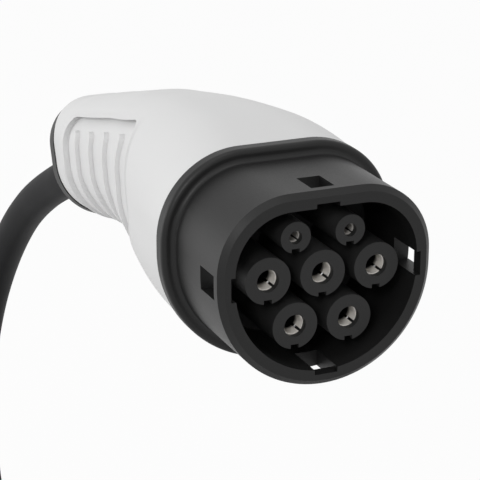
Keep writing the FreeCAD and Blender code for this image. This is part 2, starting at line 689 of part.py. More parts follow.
def draw_panel(sketch):
    """Outline of the recessed grip panel, seen from the side."""
    draw_polygon(sketch, [
        (behind_flange("Sizes.PanelRear"), "Sizes.PanelRearZ"),
        (behind_flange("Sizes.PanelHeel"), "Sizes.PanelFootZ"),
        (behind_flange("Sizes.PanelFoot"), "Sizes.PanelFootZ"),
        (behind_flange("Sizes.PanelBulge"), "Sizes.PanelBulgeZ"),
        (behind_flange("Sizes.PanelFront"), "Sizes.PanelFrontZ"),
    ])


RIB_COUNT = 4


def draw_rib(index):
    """Drawing of one rib, a leaning bar with a round top, counted from the front."""
    def drawing(sketch):
        back = f"(Sizes.RibStart + {index} * Sizes.RibPitch)"
        x = behind_flange(back)
        slope = "(Sizes.PanelFrontZ - Sizes.PanelRearZ) / (Sizes.PanelRear - Sizes.PanelFront)"
        z = f"Sizes.PanelRearZ + (Sizes.PanelRear - {back}) * {slope} - Sizes.RibTopGap"
        sketch.AttachmentOffset = FreeCAD.Placement(Vector(), Rotation(Vector(0, 0, 1), 1))
        sketch.setExpression("AttachmentOffset.Base.x", x)
        sketch.setExpression("AttachmentOffset.Base.y", z)
        sketch.setExpression("AttachmentOffset.Rotation.Angle", "Sizes.RibTilt * 1 deg")
        half = size("Sizes.RibWidth / 2")
        foot = size("Sizes.PanelFootZ")
        arc = Part.ArcOfCircle(Part.Circle(Vector(0, -half, 0), Vector(0, 0, 1), half), 0, math.pi)
        outline = ((-half, -half), (-half, foot), (half, foot), (half, -half))
        corners = [Vector(side, height, 0) for side, height in outline]
        edges = [sketch.addGeometry(arc)]
        for start, end in zip(corners, corners[1:]):
            edges.append(sketch.addGeometry(Part.LineSegment(start, end)))
        for edge, following in zip(edges, edges[1:] + edges[:1]):
            kind = "Coincident" if {edge, following} <= set(edges[1:]) else "Tangent"
            sketch.addConstraint(Sketcher.Constraint(kind, edge, 2, following, 1))
        sketch.addConstraint(Sketcher.Constraint("Horizontal", edges[2]))
        sketch.addConstraint(Sketcher.Constraint("Vertical", edges[1]))
        sketch.addConstraint(Sketcher.Constraint("PointOnObject", edges[0], 3, -2))
        drive(sketch, Sketcher.Constraint("Radius", edges[0], half), "Half", "Sizes.RibWidth / 2")
        rise = Sketcher.Constraint("DistanceY", -1, 1, edges[0], 3, -half)
        drive(sketch, rise, "Rise", "-Sizes.RibWidth / 2")
        drive(sketch, Sketcher.Constraint("DistanceY", -1, 1, edges[2], 1, foot), "Foot", "Sizes.PanelFootZ")
    return drawing


def combine(label, kind, members):
    feature = doc.addObject(f"Part::{kind}", label)
    feature.Shapes = members
    feature.Label = label
    return feature


def make_handle(label):
    """White moulded handle, hollow, with a sunk grip panel that wraps under it and ribs across the panel."""
    outside = make_handle_form("HandleOutside", "0")
    panel_floor = make_handle_form("PanelFloor", "Sizes.GripDepth")
    rib_tops = make_handle_form("RibTops", "Sizes.RibSink")
    hollow = make_handle_form("HandleHollow", "Sizes.HandleWall")
    panel = make_side_tool("PanelTool", [draw_panel])[0]
    front = size(behind_flange("Sizes.PanelFront")), size("Sizes.PanelFrontZ")
    rear = size(behind_flange("Sizes.PanelRear")), size("Sizes.PanelRearZ")

    def at_corner(edge):
        box = edge.BoundBox
        return any(abs(box.XMax - x) + abs(box.ZMax - z) < 0.1 and box.YLength > 1 for x, z in (front, rear))

    round_edges(panel, "Fillet", at_corner, "Sizes.PanelCorner")
    sunk = cut("PanelCut", panel, panel_floor)
    grooved = cut("HandleWithPanel", outside, sunk)
    drawings = [draw_rib(index) for index in range(RIB_COUNT)]
    bars = combine("RibBars", "MultiFuse", make_side_tool("RibTool", drawings))
    ribs = combine("Ribs", "MultiCommon", [bars, rib_tops])
    ribbed = combine("HandleWithRibs", "MultiFuse", [grooved, ribs])
    return cut(label, ribbed, hollow)


COS_TILT = f"cos({END}Tilt * 1 deg)"
SIN_TILT = f"sin({END}Tilt * 1 deg)"
REAR_X = f"({END}X + Sizes.CableDrop * {SIN_TILT})"
REAR_Z = f"({END}Z - Sizes.CableDrop * {COS_TILT})"
COIL_FOOT = "(Sizes.CoilRelief - Sizes.CableWidth / 2)"
LOW_TURN = f"({COIL_Z} - {COIL_LAYERS - 1} * Sizes.CoilPitch)"
SURFACE = f"({LOW_TURN} + {COIL_FOOT} - Sizes.TieThickness)"
PLUG_Z = f"({SURFACE} + Sizes.NoseHalfWidth + Sizes.FlangeReach + Sizes.PlugLift)"
# Each end of the cable: its reference point's X and Z, and 1 or -1, as the two faces mirror each other
HERE = ("0", "0", 1)
PLUG = ("Sizes.PlugX", PLUG_Z, -1)


def stand_in_rear(feature, connector, across="0"):
    """Place a piece that is drawn on the cable's axis at the handle's end, +X forward along that axis."""
    feature.Placement.Rotation = Rotation(Vector(0, 1, 0), -1)
    feature.setExpression("Placement.Rotation.Angle", f"-{END}Tilt * 1 deg")
    stand_at(feature, across, f"{connector[1]} + {REAR_Z}", f"{connector[0]} + {REAR_X}")
    return feature


def draw_end_outline(sketch, inset):
    """The handle's rear outline, moved inwards, drawn round the cable's axis."""
    sketch.setExpression("AttachmentOffset.Base.y", "Sizes.CableDrop")
    draw_arch(sketch, *[f"{END}{field} - ({inset})" for field in ("HalfWidth", "Top", "Corner")])


def make_end_cap(label, connector):
    """Black cap with the cable's boss behind it and a cradle for the cable ahead of it."""
    body = new_body(label)
    plate = sketch_on(body, f"{label}Plate")
    draw_end_outline(plate, "Sizes.CapInset")
    pad(body, plate, "Sizes.CapLength", backwards=True)
    rear = -size("Sizes.CapLength")
    round_edges(body, "Fillet", lambda edge: all_at(edge, rear), "Sizes.CapRound")
    boss = sketch_on(body, f"{label}Boss", "XZ_Plane")
    draw_polygon(boss, [
        ("-Sizes.CapLength / 2", "0"),
        ("-Sizes.CapLength / 2", "Sizes.BossWidth / 2"),
        ("-Sizes.CapLength", "Sizes.BossWidth / 2"),
        ("-Sizes.CapLength - Sizes.BossLength", "Sizes.BossMouth / 2"),
        ("-Sizes.CapLength - Sizes.BossLength", "0"),
    ])
    revolve(body, boss)
    cradle = sketch_on(body, f"{label}Cradle")
    draw_end_outline(cradle, "Sizes.HandleWall + Sizes.CradleClearance")
    pad(body, cradle, "Sizes.CradleLength")
    open_top = sketch_on(body, f"{label}OpenTop", ahead="Sizes.CradleLength")
    reach = f"{END}HalfWidth"
    draw_rectangle(open_top, f"-{reach}", reach, "-Sizes.ClampGap / 2", f"{END}Top + Sizes.CableDrop")
    pocket(body, open_top, "Sizes.CradleLength")
    through = "Sizes.CradleLength + Sizes.CapLength + Sizes.BossLength"
    bore = "Sizes.CableWidth / 2 + Sizes.CableClearance"
    drill(body, f"{label}Bore", [("0", "0")], bore, "Sizes.CradleLength", through)
    pilots = sketch_on(body, f"{label}Pilots", "XY_Plane", "-Sizes.ClampGap / 2")
    sides = [("Sizes.ClampMiddle", f"{sign}Sizes.ClampScrewSide") for sign in ("", "-")]
    draw_circles(pilots, sides, "Sizes.ScrewSize / 2")
    pocket(body, pilots, "Sizes.ClampScrewBite")
    return stand_in_rear(body, connector)


def make_saddle(label, connector):
    """Clamp saddle that presses the cable into the cradle."""
    body = new_body(label)
    front = "Sizes.ClampMiddle + Sizes.SaddleLength / 2"
    bore = "Sizes.CableWidth / 2 + Sizes.CableClearance"
    ears = sketch_on(body, f"{label}Ears", ahead=front)
    ear_top = "Sizes.ClampGap / 2 + Sizes.SaddleEar"
    draw_rectangle(ears, "-Sizes.SaddleReach", "Sizes.SaddleReach", "Sizes.ClampGap / 2", ear_top)
    pad(body, ears, "Sizes.SaddleLength", backwards=True)
    bridge = sketch_on(body, f"{label}Bridge", ahead=front)
    draw_circles(bridge, [("0", "0")], f"{bore} + Sizes.SaddleWall")
    pad(body, bridge, "Sizes.SaddleLength", backwards=True)
    below = sketch_on(body, f"{label}Below", ahead=front)
    reach = "Sizes.SaddleReach"
    draw_rectangle(below, f"-{reach}", reach, f"-2 * {reach}", "Sizes.ClampGap / 2")
    pocket(body, below, "Sizes.SaddleLength")
    drill(body, f"{label}Bore", [("0", "0")], bore, front, "Sizes.SaddleLength")
    holes = sketch_on(body, f"{label}Holes", "XY_Plane", ear_top)
    sides = [("Sizes.ClampMiddle", f"{sign}Sizes.ClampScrewSide") for sign in ("", "-")]
    draw_circles(holes, sides, "Sizes.ScrewSize / 2 + Sizes.ContactClearance")
    pocket(body, holes, "Sizes.SaddleEar")
    return stand_in_rear(body, connector)


def make_clamp_screws(label, connector):
    """The saddle's two screws, in the rear frame and upright in it."""
    ear_top = "(Sizes.ClampGap / 2 + Sizes.SaddleEar)"
    screws = []
    for index, sign in enumerate(("", "-")):
        body = new_body(f"{label}{index}")
        profile = sketch_on(body, f"{label}{index}Profile", "XZ_Plane")
        profile.setExpression("AttachmentOffset.Base.x", "Sizes.ClampMiddle")
        shank, head = "Sizes.ScrewSize / 2", "Sizes.ScrewHead / 2"
        foot = "-Sizes.ClampGap / 2 - Sizes.ClampScrewBite"
        draw_polygon(profile, [
            ("0", foot),
            (shank, foot),
            (shank, ear_top),
            (head, ear_top),
            (head, f"{ear_top} + Sizes.ScrewHeadHeight"),
            ("0", f"{ear_top} + Sizes.ScrewHeadHeight"),
        ])
        revolve(body, profile, "V_Axis")
        screws.append(stand_in_rear(body, connector, f"{sign}Sizes.ClampScrewSide"))
    return group(label, screws)


def make_retainer_screws(label, connector):
    screws = []
    for index, (across, up) in enumerate(RETAINER_SCREWS):
        screw = make_screw(f"{label}{index}", "Sizes.RetainerThickness + Sizes.ScrewBite")
        stand_at(screw, across, f"{connector[1]} + {up}", f"{connector[0]} + {RETAINER_REAR}")
        screws.append(screw)
    return group(label, screws)


def rear_point(forward, across, up, connector=HERE):
    """A point of the rear frame in the part's own frame."""
    tilt = math.radians(size(f"{END}Tilt"))
    x = size(f"{connector[0]} + {REAR_X}") + forward * math.cos(tilt) - up * math.sin(tilt)
    z = size(f"{connector[1]} + {REAR_Z}") + forward * math.sin(tilt) + up * math.cos(tilt)
    return Vector(x, across, z)


# Conductors: name, angle of the lay in the cable in degrees; the earth runs in the middle
CONDUCTORS = [("pe", None), ("l1", 135), ("n", 45), ("l2", 225), ("l3", 315), ("cp", 90)]


def make_wire(name, angle, connector):
    """Insulated conductor from its contact's crimp barrel to the end of the cable's jacket."""
    power = name != "cp"
    across, up = next((across, up) for contact, across, up, carries in CONTACTS if contact == name)
    lay = 0.0 if angle is None else size("Sizes.WireLay" if power else "Sizes.PilotLay")
    turn = math.radians(angle or 0)
    y, z = connector[2] * lay * math.cos(turn), lay * math.sin(turn)
    front = size(f"{connector[0]} + {CRIMP_FLOOR}")
    start = Vector(front, connector[2] * size(across), size(f"{connector[1]} + {up}"))
    jacket = size("Sizes.CradleLength + Sizes.JacketAhead")
    gather = jacket + size("Sizes.WireGather")
    points = [
        start,
        start - Vector(size("Sizes.CrimpLength + Sizes.WireStraight"), 0, 0),
        rear_point(gather, y, z, connector),
        rear_point(jacket, y, z, connector),
    ]
    return tube_shape(points, size("Sizes.PowerWire" if power else "Sizes.SignalWire"), f"wire {name}")


def make_resistor(label, connector):
    """Coding resistor from the proximity contact to the earth contact's crimp barrel."""
    lead = size("Sizes.ResistorLead")
    body = size("Sizes.ResistorLength")
    start = Vector(
        size(f"{connector[0]} + {CRIMP_FLOOR}"),
        connector[2] * size("Sizes.ContactPitch / 2"),
        size(f"{connector[1]} + Sizes.UpperRowRise"),
    )
    front = start - Vector(size("Sizes.CrimpLength") + body / 2, 0, 0)
    rear = front - Vector(body, 0, 0)
    earth = size(f"{sleeve_radius(True)} + Sizes.ResistorLead / 2")
    direction = Vector(0, start.y, start.z - size(connector[1])).normalize()
    foot = Vector(start.x - body, 0, size(connector[1])) + direction * earth
    bend = Vector(rear.x - body, start.y, start.z)
    back = Vector(bend.x, 0, size(connector[1])) + direction * earth
    leads = tube_path([start, bend, back, foot])
    circle = Part.Wire(Part.makeCircle(lead / 2, start, Vector(-1, 0, 0)))
    bent_lead = leads.makePipeShell([circle], True, False)
    case = Part.makeCylinder(size("Sizes.ResistorWidth / 2"), body, rear, Vector(1, 0, 0))
    return new_shape(label, bent_lead.fuse(case).removeSplitter())


def make_lead():
    """Cable from the clamp in the connector's handle, down and round to the coil."""
    jacket = size("Sizes.CradleLength + Sizes.JacketAhead")
    points = [rear_point(jacket, 0, 0), rear_point(-LEAD_BEND, 0, 0)]
    points += [Vector(*point) for point in LEAD_ROUTE]
    return new_shape("cable_lead", tube_shape(points, size("Sizes.CableWidth"), "cable_lead"))


def make_tail():
    """Cable from the coil's lowest turn, straight along the surface and up into the plug's handle."""
    jacket = size("Sizes.CradleLength + Sizes.JacketAhead")
    low = size(LOW_TURN)
    start = Vector(COIL_X + 2 * size("Sizes.CoilTangent"), COIL_Y, low)
    forward = (low - size(f"{PLUG[1]} + {REAR_Z}")) / math.sin(math.radians(size(f"{END}Tilt")))
    points = [start, rear_point(forward, 0, 0, PLUG), rear_point(jacket, 0, 0, PLUG)]
    return new_shape("cable_tail", tube_shape(points, size("Sizes.CableWidth"), "cable_tail"))


OUTER_TURN = f"(Sizes.CoilInnerTurn + {COIL_COLUMNS - 1} * Sizes.CoilPitch)"
TOP_TURN = f"{COIL_LAYERS - 1} * Sizes.CoilPitch"
COIL_INSIDE = "(Sizes.CoilInnerTurn - Sizes.CableWidth / 2)"
COIL_OUTSIDE = f"({OUTER_TURN} + Sizes.CableWidth / 2 - Sizes.CoilRelief)"
COIL_TOP = f"({TOP_TURN} + Sizes.CableWidth / 2 - Sizes.CoilRelief)"


def stand_on_coil_axis(feature, turn=0):
    """Place a piece that is drawn round the coil's axis, at the height of the lowest turns."""
    feature.Placement.Rotation = Rotation(Vector(0, 0, 1), turn)
    stand_at(feature, f"{COIL_Y} + {OUTER_TURN}", LOW_TURN, f"{COIL_X} + Sizes.CoilTangent")
    return feature


def make_coil(label):
    """Outer shape of the wound turns, with the straight cable at both ends."""
    body = new_body(label)
    turns = sketch_on(body, f"{label}Turns", "XZ_Plane")
    draw_rectangle(turns, COIL_INSIDE, COIL_OUTSIDE, COIL_FOOT, COIL_TOP)
    revolve(body, turns, "V_Axis")
    for name, up, backwards in (("Lead", TOP_TURN, True), ("Tail", "0", False)):
        end = sketch_on(body, f"{label}{name}")
        draw_circles(end, [(f"-{OUTER_TURN}", up)], "Sizes.CableWidth / 2")
        pad(body, end, "Sizes.CoilTangent", backwards)
    return stand_on_coil_axis(body)


TIE_PLACES = (30, 150)


def make_coil_ties(label):
    """Straps round the bundle of turns."""
    ties = []
    thick = "Sizes.TieThickness"
    for index, turn in enumerate(TIE_PLACES):
        body = new_body(f"{label}{index}")
        section = sketch_on(body, f"{label}{index}Section", "XZ_Plane")
        draw_rectangle(section, COIL_INSIDE, COIL_OUTSIDE, COIL_FOOT, COIL_TOP, "Inner")
        across = (f"{COIL_INSIDE} - {thick}", f"{COIL_OUTSIDE} + {thick}")
        draw_rectangle(section, *across, f"{COIL_FOOT} - {thick}", f"{COIL_TOP} + {thick}", "Outer")
        strap = revolve(body, section, "V_Axis")
        strap.setExpression("Angle", "Sizes.TieAngle")
        ties.append(stand_on_coil_axis(body, turn))
    return group(label, ties)


def make_pin(label, across, up, power):
    """Turned plug pin with a collar and a crimp barrel like those of the contacts."""
    shank = f"Sizes.{'Power' if power else 'Signal'}Pin / 2"
    sleeve, collar = sleeve_radius(power), collar_radius(power)
    wire = f"Sizes.{'Power' if power else 'Signal'}Wire / 2 + Sizes.ContactClearance"
    crimp_end = f"{CRIMP_FLOOR} - Sizes.CrimpLength"
    body = new_body(label)
    profile = sketch_on(body, f"{label}Profile", "XZ_Plane")
    draw_polygon(profile, [
        (f"{FLOOR_FRONT} + Sizes.PinLength", "0"),
        (f"{FLOOR_FRONT} + Sizes.PinLength", shank),
        (f"{FLOOR_FRONT} + Sizes.PinFootRise", shank),
        (f"{FLOOR_FRONT} + Sizes.PinFootRise", f"{shank} + Sizes.PinFootReach"),
        (f"{FLOOR_REAR} + Sizes.CollarLength", f"{shank} + Sizes.PinFootReach"),
        (f"{FLOOR_REAR} + Sizes.CollarLength", collar),
        (FLOOR_REAR, collar),
        (FLOOR_REAR, sleeve),
        (crimp_end, sleeve),
        (crimp_end, wire),
        (CRIMP_FLOOR, wire),
        (CRIMP_FLOOR, "0"),
    ])
    revolve(body, profile)
    stand_at(body, across, f"{PLUG[1]} + {up}", PLUG[0])
    return body


def make_pin_tip(label, across, up, power):
    """Insulating tip on a pin's end."""
    shank = f"Sizes.{'Power' if power else 'Signal'}Pin / 2"
    root = f"{FLOOR_FRONT} + Sizes.PinLength"
    body = new_body(label)
    profile = sketch_on(body, f"{label}Profile", "XZ_Plane")
    draw_polygon(profile, [
        (root, "0"),
        (root, shank),
        (f"{root} + Sizes.PinTip - Sizes.TipRound", shank),
        (f"{root} + Sizes.PinTip", f"{shank} - Sizes.TipRound"),
        (f"{root} + Sizes.PinTip", "0"),
    ])
    revolve(body, profile)
    stand_at(body, across, f"{PLUG[1]} + {up}", PLUG[0])
    return body


def make_pin_carrier(label):
    """Black insert of the plug, a floor that holds the pins."""
    body = make_insert_base(label)
    for power, kind in ((True, "Power"), (False, "Signal")):
        counterbore = f"{collar_radius(power)} + Sizes.ContactClearance"
        foot = f"Sizes.{kind}Pin / 2 + Sizes.PinFootReach"
        drill(body, f"{label}{kind}Holes", places(power), foot, FLOOR_REAR, "Sizes.FloorThickness", True)
        drill(body, f"{label}{kind}Seats", places(power), counterbore, FLOOR_REAR, "Sizes.CollarLength", True)
    drill(body, f"{label}Pilots", RETAINER_SCREWS, "Sizes.ScrewSize / 2", FLOOR_REAR, "Sizes.ScrewBite", True)
    return body


def make_shared_pieces(prefix, connector):
    """Pieces that both ends of the cable have alike."""
    kinds = (True, False)
    crimp_holes = [(places(power), f"{sleeve_radius(power)} + Sizes.ContactClearance") for power in kinds]
    screw_holes = (RETAINER_SCREWS, "Sizes.ScrewSize / 2 + Sizes.ContactClearance")
    pieces = [
        make_nose(f"{prefix}nose_shroud"),
        make_seal(f"{prefix}nose_seal"),
        make_retainer(f"{prefix}contact_retainer", [*crimp_holes, screw_holes]),
    ]
    for piece in pieces:
        stand_at(piece, "0", connector[1], connector[0])
    return pieces + [
        make_retainer_screws(f"{prefix}retainer_screws", connector),
        make_end_cap(f"{prefix}end_cap", connector),
        make_saddle(f"{prefix}clamp_saddle", connector),
        make_clamp_screws(f"{prefix}clamp_screws", connector),
        make_resistor(f"{prefix}coding_resistor", connector),
    ]


def make_connector():
    """Everything at the vehicle end."""
    nodes = make_shared_pieces("", HERE)
    nodes.append(make_contact_carrier("contact_carrier"))
    towers = [make_tower(f"tower_{name}", across, up, power) for name, across, up, power in CONTACTS]
    nodes.append(group("contact_towers", towers))
    for name, across, up, power in CONTACTS:
        nodes.append(make_contact(f"contact_{name}", across, up, power))
    nodes.append(make_springs("contact_springs"))
    for name, angle in CONDUCTORS:
        nodes.append(new_shape(f"wire_{name}", make_wire(name, angle, HERE)))
    nodes.append(make_handle("handle_shell"))
    return nodes


def make_plug(handle):
    """Everything at the other end, whose handle is the same moulding."""
    nodes = make_shared_pieces("plug_", PLUG)
    carrier = make_pin_carrier("plug_pin_carrier")
    stand_at(carrier, "0", PLUG[1], PLUG[0])
    nodes.append(carrier)
    for power, kind in ((True, "power"), (False, "signal")):
        pins = []
        for index, (across, up) in enumerate(places(power)):
            pins.append(make_pin(f"plug_{kind}_pin{index}", across, up, power))
        nodes.append(group(f"plug_{kind}_pins", pins))
    tips = [make_pin_tip(f"plug_tip_{name}", across, up, power) for name, across, up, power in CONTACTS]
    nodes.append(group("plug_pin_tips", tips))
    wires = [new_shape(f"plug_wire_{name}", make_wire(name, angle, PLUG)) for name, angle in CONDUCTORS]
    nodes.append(group("plug_conductors", wires))
    doc.recompute()
    place = FreeCAD.Placement(Vector(size(PLUG[0]), 0, size(PLUG[1])), Rotation())
    nodes.append(new_shape("plug_handle_shell", handle.Shape, place))
    return nodes


def check_document(nodes):
    """Stop if any object failed or any piece has no valid shape."""
    for item in doc.Objects:
        if {"Invalid", "Error"} & set(item.State):
            raise RuntimeError(f"{item.Name} failed: {item.State}")
    for node in nodes:
        if node.Shape.isNull() or not node.Shape.isValid():
            raise RuntimeError(f"{node.Label} has no valid shape")


def main():
    fill_sheet()
    nodes = make_connector()
    nodes += make_plug(doc.getObject("handle_shell"))
    nodes += [make_lead(), make_coil("cable_coil"), make_coil_ties("coil_ties"), make_tail()]
    doc.recompute()
    check_document(nodes)
    os.makedirs("parts", exist_ok=True)
    for node in nodes:
        node.Shape.exportStep(f"parts/{node.Label}.step")
        print(f"{node.Label}: {len(node.Shape.Solids)} solid, {node.Shape.Volume:.0f} mm3")


main()
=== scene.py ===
"""Looks of an electric vehicle charging cable: handled connector, coiled cable and plug."""

import math

import bmesh
import bpy
from mathutils import Matrix, Vector
from mathutils.geometry import convex_hull_2d


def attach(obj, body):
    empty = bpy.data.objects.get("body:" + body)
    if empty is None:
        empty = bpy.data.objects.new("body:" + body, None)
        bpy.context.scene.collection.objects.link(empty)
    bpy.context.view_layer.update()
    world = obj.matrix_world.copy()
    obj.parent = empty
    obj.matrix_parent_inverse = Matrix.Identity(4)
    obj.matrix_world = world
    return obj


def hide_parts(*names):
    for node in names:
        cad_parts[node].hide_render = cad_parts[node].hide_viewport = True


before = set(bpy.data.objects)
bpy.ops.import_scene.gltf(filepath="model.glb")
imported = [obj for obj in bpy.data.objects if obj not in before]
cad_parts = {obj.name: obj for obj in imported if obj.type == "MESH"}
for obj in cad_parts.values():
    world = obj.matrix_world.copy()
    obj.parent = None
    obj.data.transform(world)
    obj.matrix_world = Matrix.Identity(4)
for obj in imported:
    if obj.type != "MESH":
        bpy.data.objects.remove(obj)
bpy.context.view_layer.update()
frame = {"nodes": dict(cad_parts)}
nodes = frame["nodes"]

# Camera. It looks down at the connector's face from its right, close by, so the handle runs away
# to the left and the cable leaves the picture at the left edge.
CAMERA_PLACE = (0.46708, -0.22373, 0.18934)
CAMERA_AZIMUTH = 66.92
CAMERA_ELEVATION = 19.18
CAMERA_LENS = 144.9
SENSOR_WIDTH = 36.0

camera_data = bpy.data.cameras.new("camera")
camera_data.sensor_width = SENSOR_WIDTH
camera_data.lens = CAMERA_LENS
camera_data.clip_start = 0.01
camera = bpy.data.objects.new("camera", camera_data)
camera.location = CAMERA_PLACE
camera.rotation_euler = (math.radians(90 - CAMERA_ELEVATION), 0, math.radians(CAMERA_AZIMUTH))
bpy.context.scene.collection.objects.link(camera)
bpy.context.scene.camera = camera
bpy.context.scene.view_settings.view_transform = "Standard"

# Cable. Five conductors and a pilot wire in a round black rubber jacket, with a faint sheen and
# the slight waviness of extruded rubber. It hangs from the handle and runs into a tied coil.
CABLE_WIDTH = 0.015
PLUG_PLACE = (0.104, 0.0, -0.2849)
CABLE_START = Vector((-0.17199, 0.0, -0.01625))
LEAD_ROUTE = [
    (-0.20506, 0.0, -0.02760),
    (-0.252, 0.0, -0.0475),
    (-0.296, 0.0, -0.073),
    (-0.336, 0.0, -0.109),
    (-0.368, 0.0, -0.151),
    (-0.3865, 0.0, -0.194),
    (-0.382, 0.0, -0.2385),
    (-0.355, 0.0, -0.2765),
    (-0.3124, 0.0, -0.2988),
    (-0.258, 0.0, -0.2988),
]
TAIL_ROUTE = [
    (-0.138, 0.0, -0.3140),
    (-0.1054, 0.0, -0.3140),
    (-0.06799, 0.0, -0.30115),
]
COIL_PITCH = 0.0152
COIL_INNER_TURN = 0.066
COIL_TANGENT = 0.060
TURNS_INWARDS = 3
TURNS = 2 * TURNS_INWARDS + 1
BULGE = 0.27
POINTS_A_TURN = 24

coil_outer_turn = COIL_INNER_TURN + TURNS_INWARDS * COIL_PITCH
coil_centre = Vector((LEAD_ROUTE[-1][0] + COIL_TANGENT, coil_outer_turn, LEAD_ROUTE[-1][2]))


def turn_place(turned):
    """Distance from the coil's middle, and drop, of the wound cable after so many turns."""
    down = min(1.0, max(0.0, turned - TURNS_INWARDS))
    columns = abs(turned - TURNS_INWARDS - down) - BULGE * math.sin(math.pi * down)
    return COIL_INNER_TURN + columns * COIL_PITCH, down * COIL_PITCH


def coil_points():
    """Points that draw the wound cable: inwards on top, a turn down, and outwards below."""
    points = []
    for index in range(TURNS * POINTS_A_TURN):
        turned = (index + 0.5) / POINTS_A_TURN
        radius, drop = turn_place(turned)
        radius /= math.cos(math.pi / POINTS_A_TURN)
        angle = 2 * math.pi * turned
        across = Vector((math.sin(angle), -math.cos(angle), 0.0))
        points.append(coil_centre + radius * across - Vector((0.0, 0.0, drop)))
    return points


def laid_cable(name, points, width):
    """Round cable on one smooth curve through the country of its points."""
    curve = bpy.data.curves.new(name, "CURVE")
    curve.dimensions = "3D"
    spline = curve.splines.new("NURBS")
    spline.points.add(len(points) - 1)
    for knot, point in zip(spline.points, points):
        knot.co = (*point, 1.0)
    spline.order_u = 3
    spline.use_endpoint_u = True
    spline.resolution_u = 8
    curve.bevel_depth = width / 2
    curve.bevel_resolution = 8
    curve.use_fill_caps = True
    piece = bpy.data.objects.new(name, curve)
    bpy.context.scene.collection.objects.link(piece)
    return piece


route = [CABLE_START, *map(Vector, LEAD_ROUTE), *coil_points(), *map(Vector, TAIL_ROUTE)]
cable = laid_cable("charging_cable", route, CABLE_WIDTH)


class Value:
    """Output of a shader node, with the arithmetic of a number."""

    def __init__(self, nodes, socket):
        self.nodes = nodes
        self.socket = socket

    def math(self, operation, first, second):
        return self.nodes.add("ShaderNodeMath", {"operation": operation}, {0: first, 1: second})

    def __add__(self, other):
        return self.math("ADD", self, other)

    def __radd__(self, other):
        return self.math("ADD", other, self)

    def __sub__(self, other):
        return self.math("SUBTRACT", self, other)

    def __rsub__(self, other):
        return self.math("SUBTRACT", other, self)

    def __mul__(self, other):
        return self.math("MULTIPLY", self, other)

    def __rmul__(self, other):
        return self.math("MULTIPLY", other, self)


class Nodes:
    """Nodes of a material or of the world."""

    def __init__(self, tree):
        self.tree = tree

    def add(self, kind, settings, values, output=0):
        """A node of a kind with its settings, then the values or links of its inputs."""
        node = self.tree.nodes.new(kind)
        for name, setting in settings.items():
            setattr(node, name, setting)
        for key, value in values.items():
            self.feed(node.inputs[key], value)
        return Value(self, node.outputs[output])

    def feed(self, socket, value):
        if isinstance(value, Value):
            self.tree.links.new(value.socket, socket)
        else:
            socket.default_value = value


class Finish(Nodes):
    """Material of a piece: one shader, and patterns that feed it."""

    def __init__(self, name):
        self.material = bpy.data.materials.new(name)
        self.material.use_nodes = True
        super().__init__(self.material.node_tree)
        self.surface = self.tree.nodes["Principled BSDF"]

    def shade(self, **values):
        """Feed the shader's inputs, written with underscores for spaces."""
        for name, value in values.items():
            self.feed(self.surface.inputs[name.replace("_", " ")], value)

    def noise(self, scale, detail=3.0, stretch=(1.0, 1.0, 1.0)):
        place = self.add("ShaderNodeTexCoord", {}, {}, "Object")
        stretched = self.add("ShaderNodeMapping", {}, {"Vector": place, "Scale": stretch})
        return self.add("ShaderNodeTexNoise", {}, {"Vector": stretched, "Scale": scale, "Detail": detail})

    def colour(self, dark, light, share):
        """A colour between two, by a share from 0 to 1."""
        settings = {"data_type": "RGBA"}
        return self.add("ShaderNodeMix", settings, {0: share, 6: (*dark, 1.0), 7: (*light, 1.0)}, 2)

    def bump(self, height, depth):
        """Relief of a height from 0 to 1, as deep as depth in metres."""
        return self.add("ShaderNodeBump", {}, {"Height": height, "Distance": depth, "Strength": 1.0})


def dress(piece, finish):
    """Give a piece one finish all over."""
    piece.data.materials.clear()
    piece.data.materials.append(finish.material)


rubber = Finish("cable_rubber")
mottle = rubber.noise(60.0, 4.0)
grain = rubber.noise(1800.0, 2.0)
rubber.shade(
    Base_Color=rubber.colour((0.006, 0.006, 0.007), (0.011, 0.011, 0.012), mottle),
    Roughness=0.46 + 0.12 * mottle,
    Specular_IOR_Level=0.06,
    Normal=rubber.bump(grain, 0.00003),
)
dress(cable, rubber)
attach(cable, "root")
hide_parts("cable_lead", "cable_coil", "cable_tail")

# Straps. Two woven bands hold the coil's turns together. Each runs once round the bundle and its
# end lies over its start on top, where the hooks hold it.
STRAP_WIDTH = 0.019
STRAP_THICKNESS = 0.0010
STRAP_EDGE = 0.0004
STRAP_LIFT = 0.0001
STRAP_OVERLAP = 0.030
STRAP_PLACES = (36.0, 156.0)
STRAP_STEP = 0.002
LAP_RISE = 0.008
LAP_FLAT = 0.9
ROUND_STEPS = 48

strap_sections = [
    (-STRAP_WIDTH / 2, STRAP_EDGE), (-STRAP_WIDTH / 2 + STRAP_EDGE, 0.0),
    (STRAP_WIDTH / 2 - STRAP_EDGE, 0.0), (STRAP_WIDTH / 2, STRAP_EDGE),
    (STRAP_WIDTH / 2, STRAP_THICKNESS - STRAP_EDGE), (STRAP_WIDTH / 2 - STRAP_EDGE, STRAP_THICKNESS),
    (-STRAP_WIDTH / 2 + STRAP_EDGE, STRAP_THICKNESS), (-STRAP_WIDTH / 2, STRAP_THICKNESS - STRAP_EDGE),
]


